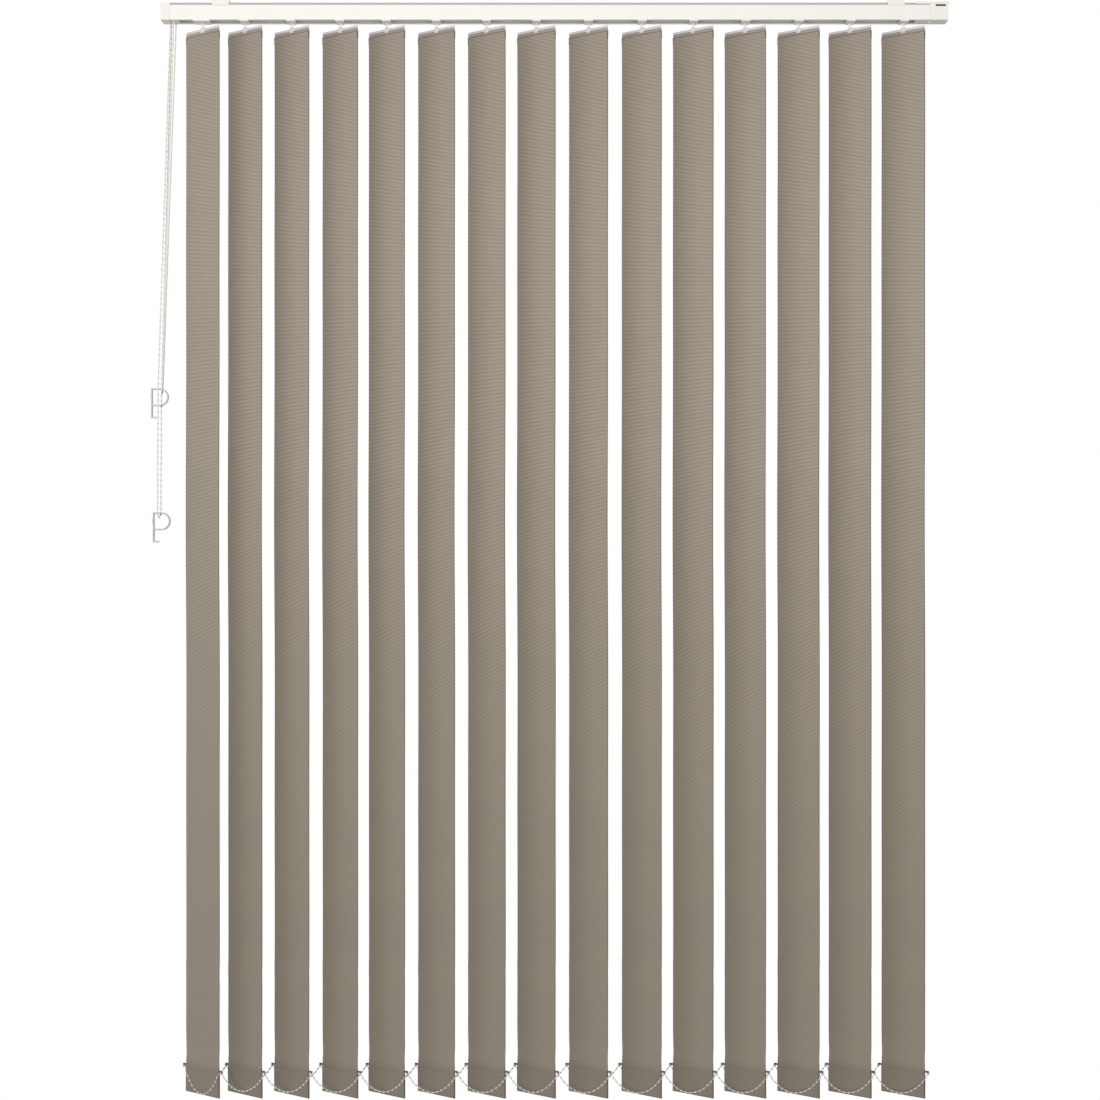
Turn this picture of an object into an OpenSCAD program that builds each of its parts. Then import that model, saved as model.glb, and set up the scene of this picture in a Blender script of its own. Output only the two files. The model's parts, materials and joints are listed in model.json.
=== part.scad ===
// Vertical blind with fifteen fabric slats that draw to the right.
// Millimetres, +X to the right, +Y away from the viewer, +Z up.
// The origin is on the ceiling, midway between the two ceiling clips.

/* [Headrail] */
// Length of the headrail with both end caps
rail_len = 1296; // [1250:1:1340]
// Depth of the headrail from front to back
rail_d = 38; // [37:0.5:41]
// Height of the headrail
rail_h = 28; // [27:0.5:32]
// Wall of the rail and of its two bottom lips
rail_wall = 1.5; // [1.2:0.1:1.8]
// Width of the slot along the underside
slot_w = 24; // [23.5:0.5:25]
// Length of the end cap on the control side
control_cap_len = 15; // [14:0.5:17]
// Length of the end cap on the return side
return_cap_len = 30; // [27:0.5:34]

/* [Ceiling clips] */
// Distance of the left clip from the left end
left_clip_inset = 99; // [70:1:130]
// Distance of the right clip from the right end
right_clip_inset = 86; // [72:1:110]
// Length of a clip along the rail
clip_len = 28; // [20:1:36]
// Height of a clip's bridge above the rail
clip_rise = 4; // [3.5:0.5:6]
// Diameter of the screw hole in a clip
clip_hole_d = 4.5; // [3.5:0.1:5.5]

/* [Carriers] */
// Width of a carrier along the rail
carrier_w = 14.4; // [12:0.2:16]
// Width of the lead carrier
lead_w = 27.6; // [24:0.2:30]
// Distance of the lead carrier from the left end
lead_inset = 67; // [60:1:80]
// Distance of the last carrier from the right end
last_inset = 72; // [70:1:84]

/* [Slats] */
// Width of a slat
slat_w = 89; // [84:0.5:92]
// Length of a slat with its hanger
slat_len = 1760; // [1400:10:2000]
// Angle of the slats to the rail as the blind stands
slat_angle = 45; // [30:1:70]
// Thickness of the fabric
fabric_t = 0.8; // [0.5:0.1:1.2]
// Height of the hanger that shows above the fabric
hanger_show = 8; // [6:0.5:10]
// Height of the hem that holds the bottom weight
hem_h = 45; // [38:1:60]

/* [Bottom chains] */
// Diameter of a bead of the bottom chains
link_bead_d = 3.2; // [2.6:0.1:3.6]
// Slack of the chain between two neighbouring weights, beyond the distance between them
link_slack = 25; // [18:1:45]

/* [Controls] */
// Diameter of the draw cord
cord_d = 2; // [1.6:0.1:2.2]
// Diameter of a bead of the control chain
bead_d = 3.8; // [3.2:0.1:3.9]
// Spacing of the beads of the control chain
bead_pitch = 9.4; // [8.6:0.1:9.6]
// Depth of a wall clip from front to back
wall_clip_d = 9; // [7:0.5:9]

/* [Hidden] */
$fn = 48;

// How much shorter than a full spacer each gap between carriers is, lead carrier first
gap_slack = [18, 11, 8, 11, 6, 5, 6, 2, 0, 3, 2, 0, 3, 0];
slat_count = len(gap_slack) + 1;
last = slat_count - 1;

// Names of the sub-parts
function two_digits(n) = str(n < 10 ? "0" : "", n);
function numbered(word) = [for (i = [1:slat_count]) str(word, "_", two_digits(i))];
carrier_names = numbered("carrier");
hook_names = numbered("hook");
slat_names = numbered("slat");
fixed_names = ["headrail", "control_end_cap", "return_end_cap", "left_ceiling_clip",
    "right_ceiling_clip", "tilt_rod", "chain_wheel", "return_pulley", "rail_cord", "draw_cord",
    "control_chain", "cord_wall_clip", "chain_wall_clip", "front_chain", "back_chain"];

// Colours
alu_white = "#f6f3ec";
plastic_white = "#f2f0ea";
fabric_taupe = "#938a7e";
cord_white = "#eeece6";
steel_grey = "#b8babc";

// Clearances: a sliding face, a turning shaft, and two curved faces that pass each other
slide_gap = 0.3;
shaft_gap = 0.05;
pass_gap = 0.3;
// How far a cut reaches past the face that it opens, or a piece into the one that it joins
over = 1;

// Places along the rail
clip_span = rail_len - left_clip_inset - right_clip_inset;
left_end = -clip_span / 2 - left_clip_inset;
right_end = clip_span / 2 + right_clip_inset;
rail_x0 = left_end + control_cap_len;
rail_x1 = right_end - return_cap_len;
last_x = right_end - last_inset;
function sum_from(list, i) = i >= len(list) ? 0 : list[i] + sum_from(list, i + 1);
spacer_pitch = (last_x - left_end - lead_inset + sum_from(gap_slack, 0)) / last;
function slat_x(i) = last_x - (last - i) * spacer_pitch + sum_from(gap_slack, i);

// Heights of the rail
rail_top = -clip_rise;
rail_bot = rail_top - rail_h;
lip_top = rail_bot + rail_wall;
groove_drop = 1.4;
groove_z = rail_top - groove_drop;
groove_h = 2;
groove_d = 1.4;
shoulder_h = 8;
shoulder_t = 3.5;
cavity_y = rail_d / 2 - rail_wall;

// The tilt rod, the worm on it and the pinion that it drives
rod_r = 2.2;
rod_bore_r = rod_r + pass_gap;
rod_journal_r = 2;
worm_core_r = 2.9;
worm_r = 3.3;
worm_len = 10;
rod_inset = 4.6;
rod_y = slot_w / 2 - rod_inset;
rod_rise = 8.6;
rod_z = lip_top + rod_rise;
tooth_gap = 0.4;
pinion_r = rod_y - worm_r - tooth_gap;
pinion_rise = 6.2;
pinion_z = lip_top + pinion_rise;
pinion_h = 4.6;

// Sections of a carrier
block_y = slot_w / 2 - 0.5;
block_h = 12.6;
block_top = lip_top + block_h;
guide_drop = 2;
guide_z = rail_bot - guide_drop;
guide_t = guide_drop - slide_gap;
wing_t = 1.6;
stem_r = 2;
journal_r = 2.25;

// Spacer strips, staggered so that they pass over each other when the slats are drawn together
strip_levels = 5;
strip_step = 1.2;
strip_t = 0.6;
strip_w = 6;
strip_len = spacer_pitch + 4;
strip_z0 = block_top + 2.5;
function strip_z(i) = strip_z0 + (i % strip_levels) * strip_step;
bridge_z = strip_z0 + strip_levels * strip_step + 0.4;

// Heights of a slat
slat_drop = 12;
slat_top = rail_bot - slat_drop;
fabric_top = slat_top - hanger_show;
slat_bot = slat_top - slat_len;
pocket_h = 14;
pocket_t = 2.2;
hanger_t = 1;
hanger_h = 20;
hanger_w = slat_w - 1;
hem_t = 2.4;
ear_drop = 2;
ear_z = slat_bot + hem_h - ear_drop;
ear_h = 3;
ear_t = 2;
peg_out = 6.5;
peg_u = slat_w / 2 + peg_out;
peg_r = 1;
ring_tube_r = 0.7;
ring_r = peg_r + pass_gap + ring_tube_r;
link_thread_r = link_bead_d * 0.16;

// The cord inside the rail and the wheel it returns over
cord_r = cord_d / 2;
cord_y = rail_d / 2 - 5;
cord_z = lip_top + 4.5;
pulley_x = rail_x1 + 0.5;
pulley_h = 4;
pin_r = 2;

// Places on the control side, from the left end of the rail
wheel_x = left_end + 14;
cord_exit_x = left_end + 21;
wheel_half = 4;
wheel_pockets = 5;
wheel_r = wheel_pockets * bead_pitch / (2 * PI);
bead_r = bead_d / 2;

// Wall clips: a round bowl on a straight stem with a small foot
bowl_w = 28.7;
bowl_h = 29.4;
wall_clip_h = 49.5;
foot_len = 9.5;
band_t = 2.2;
clip_screw_r = 2.1;
clip_screw_drop = 39;
cord_clip_pos = [left_end - 18, 0, -637];
chain_clip_pos = [left_end - 15, 0, -842];

// Route of the draw cord below the rail, from the left end of the rail:
// down the front, round the bar of the wall clip, and up the back
cord_start_z = rail_bot - shaft_gap;
draw_cord_route = [
    [21, -14, cord_start_z], [20, -13.5, -60], [14, -11, -240], [7, -8.5, -440], [1, -6, -620],
    [0, -5.7, -640], [0, -5.2, -642.4], [0, -4, -644.2], [0, -2.2, -645.3], [0, 0, -645.7],
    [0, 2.2, -645.3], [0, 4, -644.2], [0, 5.2, -642.4], [0, 5.7, -640], [1, 6, -620],
    [7, 8.5, -440], [14, 11, -240], [20, 13.5, -60], [21, 14, cord_start_z]];

// Route of the control chain, from the left end of the rail: the straight run in front and behind,
// past the cord's wall clip, to the bend round the bar of its own wall clip
chain_pass = [-4, 7.2, -640];
chain_low = [-5, 6.35, -844.2];

// Shared shapes

// A box given by its two corners
module box(a, b) {
    translate(a) cube(b - a);
}

// A rod along X, starting at a point
module rod_x(p, r, h) {
    translate(p) rotate([0, 90, 0]) cylinder(r = r, h = h);
}

// Places its children at a slat's own axis, turned to the slat's angle
module at_slat(i) {
    translate([slat_x(i), 0, 0]) rotate([0, 0, -slat_angle]) children();
}

// Points spaced evenly along a line of points
function lengths(line) = [for (k = [1:len(line) - 1]) norm(line[k] - line[k - 1])];
function along(line, s, k = 1) =
    let (d = norm(line[k] - line[k - 1]))
    s <= d || k == len(line) - 1
        ? line[k - 1] + (line[k] - line[k - 1]) * (s / d)
        : along(line, s - d, k + 1);

// A hanging chain between two points of one height: the catenary's scale, by halving a range
function sinh(v) = (exp(v) - exp(-v)) / 2;
function asinh(v) = ln(v + sqrt(v * v + 1));
function catenary_scale(span, length, low = 8, high = 400, steps = 40) =
    let (mid = (low + high) / 2)
    steps == 0 ? mid
        : 2 * mid * sinh(span / (2 * mid)) > length
        ? catenary_scale(span, length, mid, high, steps - 1)
        : catenary_scale(span, length, low, mid, steps - 1);
// Point at arc length s from the lowest point, as [along, below the ends]
function hanging(a, s, length) =
    [a * asinh(s / a), sqrt(a * a + s * s) - sqrt(a * a + length * length / 4)];
// Beads of one hanging string, evenly spaced between its two ends, which stay bare
beads_per_span = 13;
function span_points(span, length) =
    let (a = catenary_scale(span, length))
    [for (k = [1:beads_per_span]) hanging(a, length * (k / (beads_per_span + 1) - 0.5), length)];

// A tube swept along rows of a point and a radius, with rings square to the line;
// no part of the line runs along the direction across
function unit(v) = v / norm(v);
function heading(line, k, closed = false) =
    let (n = len(line))
    closed ? unit(line[(k + 1) % n] - line[(k + n - 1) % n])
        : unit(line[min(k + 1, n - 1)] - line[max(k - 1, 0)]);
module tube(rows, across, sides, closed = false) {
    n = len(rows);
    line = [for (row = rows) row[0]];
    points = [for (k = [0:n - 1])
        let (t = heading(line, k, closed), u = unit(cross(t, across)), v = cross(t, u))
        for (j = [0:sides - 1])
            line[k] + rows[k][1] * (cos(360 * j / sides) * u + sin(360 * j / sides) * v)];
    walls = [for (k = [0:n - (closed ? 1 : 2)]) for (j = [0:sides - 1])
        let (a = k * sides, b = (k + 1) % n * sides, next = (j + 1) % sides)
        [a + j, b + j, b + next, a + next]];
    ends = closed ? []
        : [[for (j = [0:sides - 1]) j], [for (j = [sides - 1:-1:0]) (n - 1) * sides + j]];
    polyhedron(points, concat(walls, ends));
}

// Rows of a bead chain: each bead swells out of the thread and back into it
bead_sides = 4;
function bead_rows(points, r, thread_r, closed = false) =
    [for (k = [0:len(points) - 1])
        for (side = [-1, 0, 1])
            [points[k] + side * r * heading(points, k, closed), side == 0 ? r : thread_r]];

// Fixed pieces

// A section that is the same on both sides, from the points of one side
module two_sided(points) {
    polygon(concat(points, [for (k = [len(points) - 1:-1:0]) [-points[k][0], points[k][1]]]));
}

// Section of the rail
module rail_section() {
    wide = rail_d / 2;
    two_sided([
        [wide, rail_top], [wide, groove_z], [wide - groove_d, groove_z],
        [wide - groove_d, groove_z - groove_h], [wide, groove_z - groove_h], [wide, rail_bot],
        [slot_w / 2, rail_bot], [slot_w / 2, lip_top], [cavity_y, lip_top],
        [cavity_y, rail_top - shoulder_h], [wide - shoulder_t, rail_top - shoulder_h],
        [wide - shoulder_t, rail_top - rail_wall]]);
}

// Extrudes a section drawn in Y and Z along X
module along_x(x0, x1) {
    translate([x0, 0, 0]) rotate([90, 0, 90]) linear_extrude(x1 - x0) children();
}

// Folded-channel headrail with clip grooves; the lips stop short where the controls hang out
exit_notch = 14;
module headrail() {
    color(alu_white)
    difference() {
        along_x(rail_x0, rail_x1) rail_section();
        box([rail_x0 - over, -cavity_y, rail_bot - over], [rail_x0 + exit_notch, cavity_y, lip_top]);
    }
}

// Hollow end cap that holds the chain wheel and guides the cord and the chain out below
cap_wall = 1.6;
module control_end_cap() {
    wide = rail_d / 2;
    plug_x = rail_x0 + exit_notch;
    end_wall = 2.5;
    tongue_len = 10;
    tongue_y = cavity_y - cap_wall / 2;
    exit_gap = 0.5;
    color(plastic_white)
    difference() {
        union() {
            difference() {
                box([left_end, -wide, rail_bot], [rail_x0, wide, rail_top]);
                box([left_end + end_wall, cap_wall - wide, lip_top],
                    [rail_x0 + over, wide - cap_wall, rail_top - cap_wall]);
            }
            box([rail_x0 - over, -cavity_y, rail_bot], [plug_x, cavity_y, lip_top]);
            for (side = [-1, 1])
                box([plug_x - tongue_len, side * tongue_y - cap_wall / 2, rail_bot],
                    [plug_x, side * tongue_y + cap_wall / 2, rail_top - shoulder_h]);
        }
        for (side = [-1, 1]) {
            translate([wheel_x, rod_y + side * wheel_r, rail_bot - over])
                cylinder(r = bead_r + exit_gap, h = rail_wall + 2 * over);
            translate([cord_exit_x, side * cord_y, rail_bot - over])
                cylinder(r = cord_r + exit_gap, h = rail_wall + 2 * over);
        }
        rod_x([left_end - over, rod_y, rod_z], rod_journal_r + shaft_gap, end_wall + 2 * over);
    }
}

// Hollow end cap with the pin of the return pulley, the rod's bearing and a cover over the rail's end
module return_end_cap() {
    wide = rail_d / 2;
    end_wall = 3;
    plug_x0 = rail_x1 - 23;
    bearing_t = 4;
    bearing_w = block_y - 1;
    knob_r = 3.4;
    knob_h = 2;
    pin_top = cord_z + pulley_h / 2 + 1;
    cover_x0 = rail_x1 - 26;
    cover_x1 = right_end + 0.8;
    cover_t = 1.8;
    cover_lip = 2;
    slit_x = [rail_x1 + 9, right_end - 4];
    slit_z = [rail_top - 5.5, rail_top - 2.6];
    slit_d = cap_wall + over;
    color(plastic_white)
    difference() {
        union() {
            difference() {
                box([rail_x1, -wide, rail_bot], [right_end, wide, rail_top]);
                box([rail_x1 - over, cap_wall - wide, lip_top],
                    [right_end - end_wall, wide - cap_wall, rail_top - cap_wall]);
            }
            box([plug_x0, -block_y, rail_bot], [rail_x1 + over, block_y, lip_top]);
            box([plug_x0, block_y - bearing_w, rail_bot], [plug_x0 + bearing_t, block_y, rod_z + bearing_t]);
            translate([pulley_x, 0, rail_bot - knob_h]) cylinder(r = knob_r, h = knob_h + rail_wall);
            translate([pulley_x, 0, rail_bot]) cylinder(r = pin_r, h = pin_top - rail_bot);
            box([cover_x0, -wide - cover_t, rail_top], [cover_x1, wide, rail_top + cover_t]);
            box([cover_x0, -wide - cover_t, rail_top - cover_lip], [cover_x1, -wide, rail_top + cover_t]);
        }
        rod_x([plug_x0 - over, rod_y, rod_z], rod_journal_r + shaft_gap, bearing_t + 2 * over);
        box([slit_x[0], -wide - over, slit_z[0]], [slit_x[1], slit_d - wide, slit_z[1]]);
    }
}

// Section of a ceiling clip: a bridge with a screw hole, two feet on the rail and two claws in its grooves
module ceiling_clip(x) {
    wide = rail_d / 2;
    plate_t = 1.6;
    toe_t = 0.4;
    foot_w = 7;
    leg_bot = groove_z - groove_h - plate_t;
    claw_y = wide - groove_d + slide_gap;
    claw_top = groove_z - slide_gap;
    claw_bot = groove_z - groove_h + slide_gap;
    color(plastic_white)
    difference() {
        along_x(x - clip_len / 2, x + clip_len / 2)
            two_sided([
                [wide + plate_t, 0], [wide + plate_t, leg_bot + plate_t - toe_t], [wide + toe_t, leg_bot],
                [wide, leg_bot], [wide, claw_bot], [claw_y, claw_bot], [claw_y, claw_top], [wide, claw_top],
                [wide, rail_top], [wide - foot_w, rail_top], [wide - foot_w, -plate_t]]);
        translate([x, 0, -plate_t - over]) cylinder(d = clip_hole_d, h = plate_t + 2 * over);
    }
}
module left_ceiling_clip() {
    ceiling_clip(-clip_span / 2);
}
module right_ceiling_clip() {
    ceiling_clip(clip_span / 2);
}

// Tilt mechanism

// Fluted rod through every carrier, with a plain journal at each end
flute_r = 0.9;
module tilt_rod() {
    x0 = wheel_x + wheel_half;
    x1 = rail_x1 - 24;
    journal_len = 3.5;
    color(steel_grey)
    union() {
        difference() {
            rod_x([x0, rod_y, rod_z], rod_r, x1 - x0);
            for (a = [90, 210, 330])
                rod_x([x0 - over, rod_y + rod_r * cos(a), rod_z + rod_r * sin(a)],
                    flute_r, x1 - x0 + 2 * over);
        }
        rod_x([x1 - over, rod_y, rod_z], rod_journal_r, journal_len + over);
    }
}

// Bead wheel on the end of the rod, with a pocket for each bead and a journal in the end cap
module chain_wheel() {
    core_r = wheel_r - 1.4;
    rim_r = wheel_r + 0.6;
    rim_t = 1;
    journal_inset = 0.5;
    color(plastic_white)
    translate([wheel_x, rod_y, rod_z])
    union() {
        difference() {
            rotate([0, 90, 0]) rotate_extrude()
                polygon([[0, -wheel_half], [rim_r, -wheel_half], [rim_r, rim_t - wheel_half],
                    [core_r, -bead_r], [core_r, bead_r], [rim_r, wheel_half - rim_t],
                    [rim_r, wheel_half], [0, wheel_half]]);
            for (k = [0:wheel_pockets - 1])
                rotate([360 / wheel_pockets * k, 0, 0]) translate([0, 0, wheel_r])
                    sphere(r = bead_r + pass_gap);
        }
        rod_x([left_end + journal_inset - wheel_x, 0, 0], rod_journal_r, wheel_x - left_end - wheel_half);
    }
}

// Draw cord

// Grooved wheel that turns the cord back at the far end
module return_pulley() {
    groove_r = cord_y - cord_r - pass_gap;
    flange_r = groove_r + 0.8;
    window_r = 2;
    windows = 6;
    color(plastic_white)
    translate([pulley_x, 0, cord_z])
    difference() {
        rotate_extrude()
            polygon([[0, -pulley_h / 2], [flange_r, -pulley_h / 2], [groove_r, -cord_r],
                [groove_r, cord_r], [flange_r, pulley_h / 2], [0, pulley_h / 2]]);
        translate([0, 0, -pulley_h]) cylinder(r = pin_r + shaft_gap, h = 2 * pulley_h);
        for (k = [1:windows])
            rotate([0, 0, 360 / windows * k]) translate([groove_r * 0.6, 0, -pulley_h])
                cylinder(r = window_r, h = 2 * pulley_h);
    }
}

// Two runs of cord along the rail, joined round the return pulley and bent down into the exits
module rail_cord() {
    color(cord_white)
    union() {
        for (side = [-1, 1]) {
            rod_x([cord_exit_x, side * cord_y, cord_z], cord_r, pulley_x - cord_exit_x);
            translate([cord_exit_x, side * cord_y, cord_z]) sphere(r = cord_r);
            translate([cord_exit_x, side * cord_y, rail_bot]) cylinder(r = cord_r, h = cord_z - rail_bot);
        }
        translate([pulley_x, 0, cord_z]) rotate([0, 0, -90])
            rotate_extrude(angle = 180) translate([cord_y, 0]) circle(r = cord_r);
    }
}

// Hanging loop of the draw cord
cord_sides = 8;
module draw_cord() {
    widen = cord_y / abs(draw_cord_route[0][1]);
    color(cord_white)
    tube([for (p = draw_cord_route) [[left_end + p[0], p[1] * widen, p[2]], cord_r]],
        [1, 0, 0], cord_sides);
}

// Endless bead chain over the wheel and round its wall clip
chain_step = 15;
function over_wheel(a) = [wheel_x, rod_y + wheel_r * cos(a), rod_z + wheel_r * sin(a)];
function chain_at(p, side) = [left_end + p[0], side * p[1], p[2]];
function round_clip(a) =
    [left_end + chain_low[0], chain_low[1] * cos(a), chain_low[2] + chain_low[1] * sin(a)];
chain_line = concat(
    [for (a = [270:chain_step:360]) round_clip(a)],
    [chain_at(chain_pass, 1)],
    [for (a = [0:chain_step:180]) over_wheel(a)],
    [chain_at(chain_pass, -1)],
    [for (a = [180:chain_step:270]) round_clip(a)]);
module control_chain() {
    total = sum_from(lengths(chain_line), 0);
    count = 2 * round(total / bead_pitch / 2);
    thread_r = bead_r * 0.36;
    points = [for (k = [0:count - 1]) along(chain_line, total * k / count)];
    color(cord_white)
    tube(bead_rows(points, bead_r, thread_r, true), [1, 0, 0], bead_sides, true);
}

// Clip that is screwed to the wall and holds a loop straight
module wall_clip(pos) {
    round_r = bowl_h / 2;
    flat = bowl_w - round_r;
    color(plastic_white)
    translate(pos)
    difference() {
        translate([0, wall_clip_d / 2, 0]) rotate([90, 0, 0]) linear_extrude(wall_clip_d) {
            difference() {
                union() {
                    translate([0, -bowl_h]) square([flat, bowl_h]);
                    translate([flat, -round_r]) circle(r = round_r);
                }
                translate([band_t, band_t - bowl_h]) square([flat - band_t, bowl_h - 2 * band_t]);
                intersection() {
                    translate([flat, -round_r]) circle(r = round_r - band_t);
                    translate([flat, -bowl_h]) square([bowl_w, bowl_h]);
                }
            }
            translate([0, -wall_clip_h]) square([band_t, wall_clip_h - bowl_h + over]);
            translate([0, -wall_clip_h]) square([foot_len, band_t]);
        }
        rod_x([-over, 0, -clip_screw_drop], clip_screw_r, band_t + 2 * over);
    }
}
module cord_wall_clip() {
    wall_clip(cord_clip_pos);
}
module chain_wall_clip() {
    wall_clip(chain_clip_pos);
}

// Carriers, hooks and slats

// Carrier block with glide wings, gear chamber, worm, guide under the rail and spacer strip
module carrier(i) {
    lead = i == 0;
    half = (lead ? lead_w : carrier_w) / 2;
    wing_y = cavity_y - 1;
    lip_y = rail_d / 2 + 1.6;
    lip_rise = 1.6;
    shoulder_y = -6;
    tail_y = rail_d / 2 - 5;
    tail_half = carrier_w / 2 - 2.4;
    chamber_h = pinion_h + tooth_gap;
    chamber_half = pinion_r + pass_gap;
    worm_gap = 0.8;
    split_half = 2.4;
    split_y = 5;
    split_h = 0.9;
    cord_guide_half = 2;
    cord_guide_top = cord_z + cord_r + 1.2;
    color(plastic_white)
    translate([slat_x(i), 0, 0])
    union() {
        difference() {
            union() {
                box([-half, -block_y, guide_z], [half, block_y, block_top]);
                box([-half, -wing_y, lip_top], [half, wing_y, lip_top + wing_t]);
                translate([0, 0, guide_z]) linear_extrude(guide_t)
                    polygon([[-half, -lip_y], [half, -lip_y], [half, shoulder_y],
                        [tail_half, tail_y], [-tail_half, tail_y], [-half, shoulder_y]]);
                box([-half, -lip_y, guide_z], [half, -rail_d / 2 - slide_gap, rail_bot + lip_rise]);
                if (lead)
                    for (side = [-1, 1])
                        box([-half, side * cord_y - cord_guide_half, lip_top],
                            [half, side * cord_y + cord_guide_half, cord_guide_top]);
            }
            translate([0, 0, guide_z - over]) cylinder(r = journal_r + shaft_gap, h = block_top - guide_z);
            translate([0, 0, pinion_z]) cylinder(r = chamber_half, h = chamber_h);
            box([-chamber_half, -block_y - over, pinion_z], [chamber_half, 0, pinion_z + chamber_h]);
            rod_x([-half - over, rod_y, rod_z], rod_bore_r, 2 * (half + over));
            rod_x([-worm_len / 2, rod_y, rod_z], worm_r + worm_gap, worm_len);
            box([-split_half, split_y, guide_z - over], [split_half, rail_d, guide_z + split_h]);
            if (lead)
                for (side = [-1, 1])
                    rod_x([-half - over, side * cord_y, cord_z], cord_r + pass_gap, 2 * (half + over));
        }
        worm();
        strip_guide();
        if (i < last) spacer_strip(i);
    }
}

// Bridge on top of a carrier that keeps the spacer strips of the others in line
module strip_guide() {
    half = 3;
    wall = 1.6;
    inner_y = strip_w / 2 + 1;
    roof_top = bridge_z + 1;
    for (side = [0, 1]) mirror([0, side, 0])
        box([-half, inner_y, block_top - over], [half, inner_y + wall, roof_top]);
    box([-half, -inner_y - wall, bridge_z], [half, inner_y + wall, roof_top]);
}

// Ribbed worm round the rod, held in the carrier's chamber
module worm() {
    rib = 1;
    rib_pitch = 2;
    core_len = worm_len + 0.4;
    translate([0, rod_y, rod_z]) rotate([0, 90, 0])
    difference() {
        union() {
            cylinder(r = worm_core_r, h = core_len, center = true);
            for (k = [-2:2])
                translate([0, 0, k * rib_pitch]) cylinder(r = worm_r, h = rib, center = true);
        }
        cylinder(r = rod_bore_r, h = core_len + over, center = true);
    }
}

// Flat strip that reaches to the next carrier, on a post beside the strips that pass below it
module spacer_strip(i) {
    post_half = 2;
    post_y = [-strip_w / 2 - 5.2, -strip_w / 2 - 3.2];
    z = strip_z(i);
    box([-post_half, post_y[0], block_top - over], [post_half, post_y[1], z + strip_t]);
    box([-post_half, post_y[0], z], [post_half, strip_w / 2, z + strip_t]);
    box([-post_half, -strip_w / 2, z], [strip_len, strip_w / 2, z + strip_t]);
}

// Hook with its pinion and stem, gripping the hanger strip of the slat
pinion_teeth = 10;
module hook(i) {
    tooth_r = 0.7;
    tooth_out = 0.2;
    grip_y = hanger_t / 2 + 1.4;
    grip_w = 7;
    grip_top = slat_top + 2.5;
    grip_bot = slat_top - 6;
    color(plastic_white)
    at_slat(i)
    union() {
        difference() {
            translate([0, 0, pinion_z]) cylinder(r = pinion_r, h = pinion_h);
            for (k = [0:pinion_teeth - 1])
                rotate([0, 0, 360 / pinion_teeth * k]) translate([pinion_r + tooth_out, 0, pinion_z - over])
                    cylinder(r = tooth_r, h = pinion_h + 2 * over);
        }
        translate([0, 0, guide_z]) cylinder(r = journal_r, h = pinion_z - guide_z + over);
        translate([0, 0, grip_top - over]) cylinder(r = stem_r, h = guide_z - grip_top + 2 * over);
        box([-grip_w / 2, -grip_y, grip_bot], [grip_w / 2, grip_y, grip_top]);
        box([-hanger_w / 2, -hanger_t / 2, slat_top - hanger_h], [hanger_w / 2, hanger_t / 2, slat_top]);
    }
}

// Fabric slat with a pocket for the hanger, and a hem round the bottom weight and its two chain pegs
module slat(i) {
    color(fabric_taupe)
    at_slat(i)
    union() {
        difference() {
            box([-slat_w / 2, -pocket_t / 2, fabric_top - pocket_h], [slat_w / 2, pocket_t / 2, fabric_top]);
            box([-hanger_w / 2, -hanger_t / 2, slat_top - hanger_h],
                [hanger_w / 2, hanger_t / 2, fabric_top + over]);
        }
        box([-slat_w / 2, -fabric_t / 2, slat_bot],
            [slat_w / 2, fabric_t / 2, fabric_top - pocket_h + over]);
        box([-slat_w / 2, -hem_t / 2, slat_bot], [slat_w / 2, hem_t / 2, slat_bot + hem_h]);
        for (side = [0, 1]) mirror([side, 0, 0]) weight_ear();
        if (i == 0) end_loop();
    }
}

// Ear of the bottom weight: an arm out of the hem, and a headed peg that a chain turns on
module weight_ear() {
    peg_h = 2 * (ring_tube_r + pass_gap);
    end_r = peg_r + 0.6;
    head_r = peg_r + 0.2;
    head_h = 1.4;
    box([slat_w / 2 - 2 * over, -ear_t / 2, ear_z], [peg_u, ear_t / 2, ear_z + ear_h]);
    translate([peg_u, 0, ear_z - peg_h]) cylinder(r = peg_r, h = peg_h + ear_h);
    translate([peg_u, 0, ear_z - peg_h - head_h]) cylinder(r = head_r, h = head_h);
    translate([peg_u, 0, ear_z]) cylinder(r = end_r, h = ear_h);
}

// Chain end that hangs across the front of the first slat, from ear to ear
end_loop_slack = 1.41;
module end_loop() {
    forward = hem_t / 2 + link_bead_d / 2 + pass_gap;
    end_u = slat_w / 2 + ear_t;
    end_z = ear_z + ear_t / 2;
    line = [for (p = span_points(2 * end_u, 2 * end_u * end_loop_slack)) [p[0], -forward, ear_z + p[1]]];
    tube(concat(
        [[[-end_u, 0, end_z], link_thread_r]],
        bead_rows(line, link_bead_d / 2, link_thread_r),
        [[[end_u, 0, end_z], link_thread_r]]), [0, 0, 1], bead_sides);
}

// Chain that joins the weights: it loops round the far side of each peg and hangs between neighbours
ring_z = ear_z - ring_tube_r - pass_gap;
loop_step = 45;
function peg_loop(i) =
    [for (a = [180:-loop_step:0]) [[slat_x(i) + ring_r * cos(a), ring_r * sin(a), 0], ring_tube_r]];
function hanging_beads(i) =
    let (span = slat_x(i + 1) - slat_x(i), middle = slat_x(i) + span / 2)
    bead_rows([for (p = span_points(span, span + link_slack)) [middle + p[0], 0, p[1]]],
        link_bead_d / 2, link_thread_r);
module weight_chain(side) {
    peg = side * peg_u * [cos(slat_angle), -sin(slat_angle), 0];
    color(cord_white)
    translate(peg + [0, 0, ring_z])
    tube([for (i = [0:last]) each concat(peg_loop(i), i < last ? hanging_beads(i) : [])],
        [0, 0, 1], bead_sides);
}
module front_chain() {
    weight_chain(1);
}
module back_chain() {
    weight_chain(-1);
}

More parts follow.
